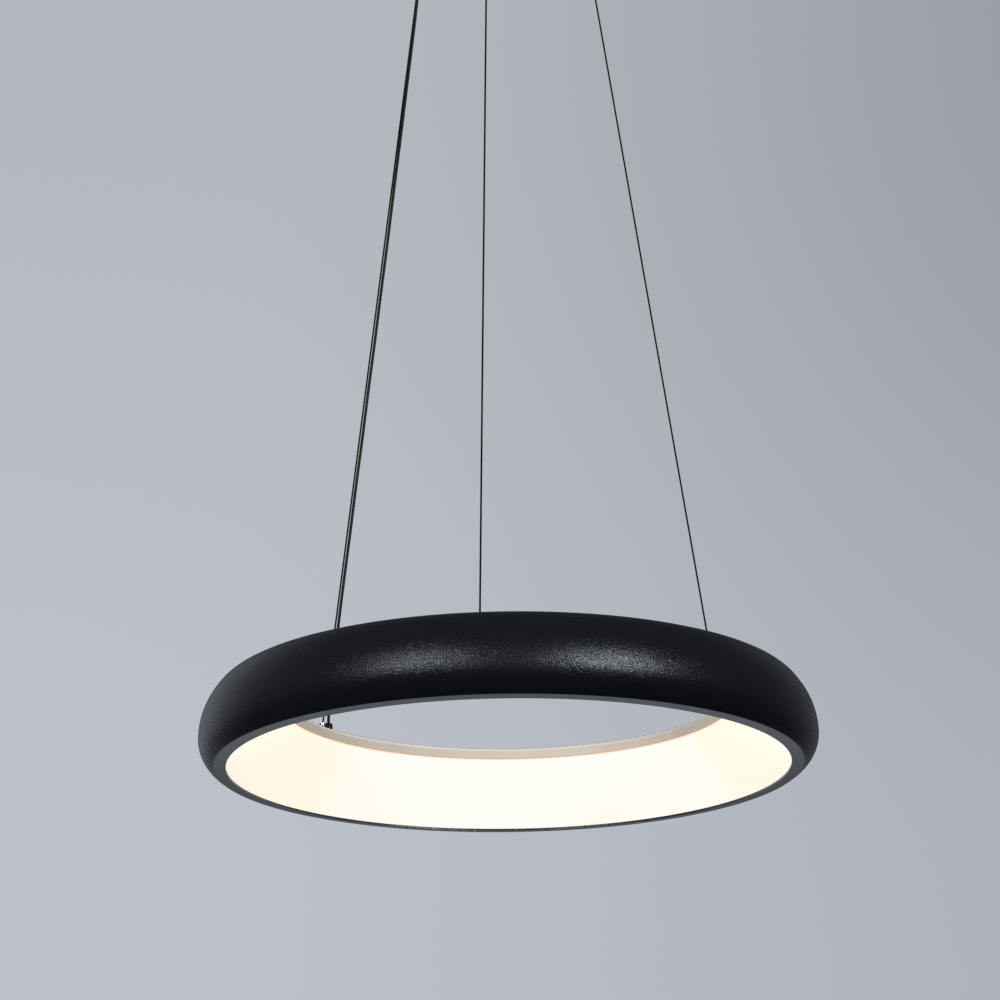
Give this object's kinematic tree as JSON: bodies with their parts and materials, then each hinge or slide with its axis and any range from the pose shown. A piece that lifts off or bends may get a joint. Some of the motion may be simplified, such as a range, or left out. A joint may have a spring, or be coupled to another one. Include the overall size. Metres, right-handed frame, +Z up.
{
  "type": "ring pendant lamp",
  "caption": "Hollow black ring pendant with a sloping lit diffuser inside, hung on slanting steel wires and a power cord from a round canopy.",
  "frame": {"origin": "middle of the canopy plate on the ceiling", "axes": "+Z up into the ceiling, -Y towards the viewer, +X to the viewer's right"},
  "size_m": [0.61, 0.61, 0.982],
  "materials": {
    "black_paint": "satin fine-textured powder coat",
    "opal": "opal diffuser, warm white when lit",
    "bare_aluminium": "mill finish",
    "circuit": "white flexible circuit",
    "phosphor": "yellow phosphor chips",
    "white_enamel": "white baked enamel",
    "white_nylon": "moulded nylon",
    "steel": "zinc plated steel",
    "stranded_steel": "stranded steel wire, coated black",
    "black_fitting": "black turned fitting",
    "nickel": "nickel plated turning",
    "cord_sheath": "satin black round sheath",
    "lead_sheath": "white lead sheath",
    "black_rubber": "soft black rubber",
    "zinc_plate": "galvanised sheet"
  },
  "bodies": {
    "canopy": {"ceiling_plate": "zinc_plate", "canopy_cup": "black_paint", "cup_screws": "black_fitting", "gripper_nuts": "steel", "wire_tails": "stranded_steel", "canopy_cord_grip": "black_fitting", "cord_grip_nut": "steel", "driver_case": "white_nylon", "driver_screws": "steel", "driver_output_lead": "cord_sheath", "driver_input_lead": "lead_sheath", "mains_terminal": "white_nylon", "terminal_screws": "steel", "earth_screw": "steel", "mains_grommet": "black_rubber", "gripper_body_front": "black_fitting", "gripper_body_right": "black_fitting", "gripper_body_left": "black_fitting", "gripper_cap_front": "nickel", "gripper_cap_right": "nickel", "gripper_cap_left": "nickel", "gripper_spring_front": "steel", "gripper_spring_right": "steel", "gripper_spring_left": "steel"},
    "ring": {"outer_shell": "black_paint", "top_frame": "black_paint", "diffuser": "opal", "led_carrier": "bare_aluminium", "led_strip": "circuit", "led_chips": "phosphor", "reflector": "white_enamel", "carrier_spacers": "white_nylon", "frame_screws": "black_fitting", "wire_stubs": "stranded_steel", "ball_ferrules": "nickel", "anchor_washers": "steel", "anchor_nuts": "steel", "cord_gland": "black_fitting", "gland_nut": "steel", "ring_terminal": "white_nylon", "inner_lead": "cord_sheath", "strip_leads": "lead_sheath", "wire_anchor_front": "nickel", "wire_anchor_right": "nickel", "wire_anchor_left": "nickel"},
    "wire_front": {"wire_front": "stranded_steel"},
    "wire_right": {"wire_right": "stranded_steel"},
    "wire_left": {"wire_left": "stranded_steel", "power_cord": "cord_sheath"},
    "sleeve_front": {"release_sleeve_front": "nickel", "gripper_balls_front": "steel"},
    "sleeve_right": {"release_sleeve_right": "nickel", "gripper_balls_right": "steel"},
    "sleeve_left": {"release_sleeve_left": "nickel", "gripper_balls_left": "steel"}
  },
  "joints": [
    {"name": "ring_sway", "type": "hinge", "parent": "canopy", "child": "ring", "pos_m": [0, 0, 0.62252], "axis": [0, 1, 0], "range_deg": [-3, 3]},
    {"name": "wire_front_swing", "type": "hinge", "parent": "canopy", "child": "wire_front", "pos_m": [-0.01108, -0.10542, -0.055], "axis": [0, 1, 0], "range_deg": [-5.6, 5.6]},
    {"name": "wire_right_swing", "type": "hinge", "parent": "canopy", "child": "wire_right", "pos_m": [0.09684, 0.04311, -0.055], "axis": [0, 1, 0], "range_deg": [-5.6, 5.6]},
    {"name": "wire_left_swing", "type": "hinge", "parent": "canopy", "child": "wire_left", "pos_m": [-0.08576, 0.06231, -0.055], "axis": [0, 1, 0], "range_deg": [-5.6, 5.6], "deforming": ["power_cord"]},
    {"name": "sleeve_front_press", "type": "slide", "parent": "canopy", "child": "sleeve_front", "axis": [0, 0, 1], "range_m": [0, 0.0025], "stiffness_N_per_m": 400, "deforming": ["gripper_spring_front"]},
    {"name": "sleeve_right_press", "type": "slide", "parent": "canopy", "child": "sleeve_right", "axis": [0, 0, 1], "range_m": [0, 0.0025], "stiffness_N_per_m": 400, "deforming": ["gripper_spring_right"]},
    {"name": "sleeve_left_press", "type": "slide", "parent": "canopy", "child": "sleeve_left", "axis": [0, 0, 1], "range_m": [0, 0.0025], "stiffness_N_per_m": 400, "deforming": ["gripper_spring_left"]}
  ],
  "couplings": [
    {"joint": "wire_front_swing", "follows": "ring_sway", "ratio": 1.803},
    {"joint": "wire_right_swing", "follows": "ring_sway", "ratio": 1.803},
    {"joint": "wire_left_swing", "follows": "ring_sway", "ratio": 1.803}
  ]
}
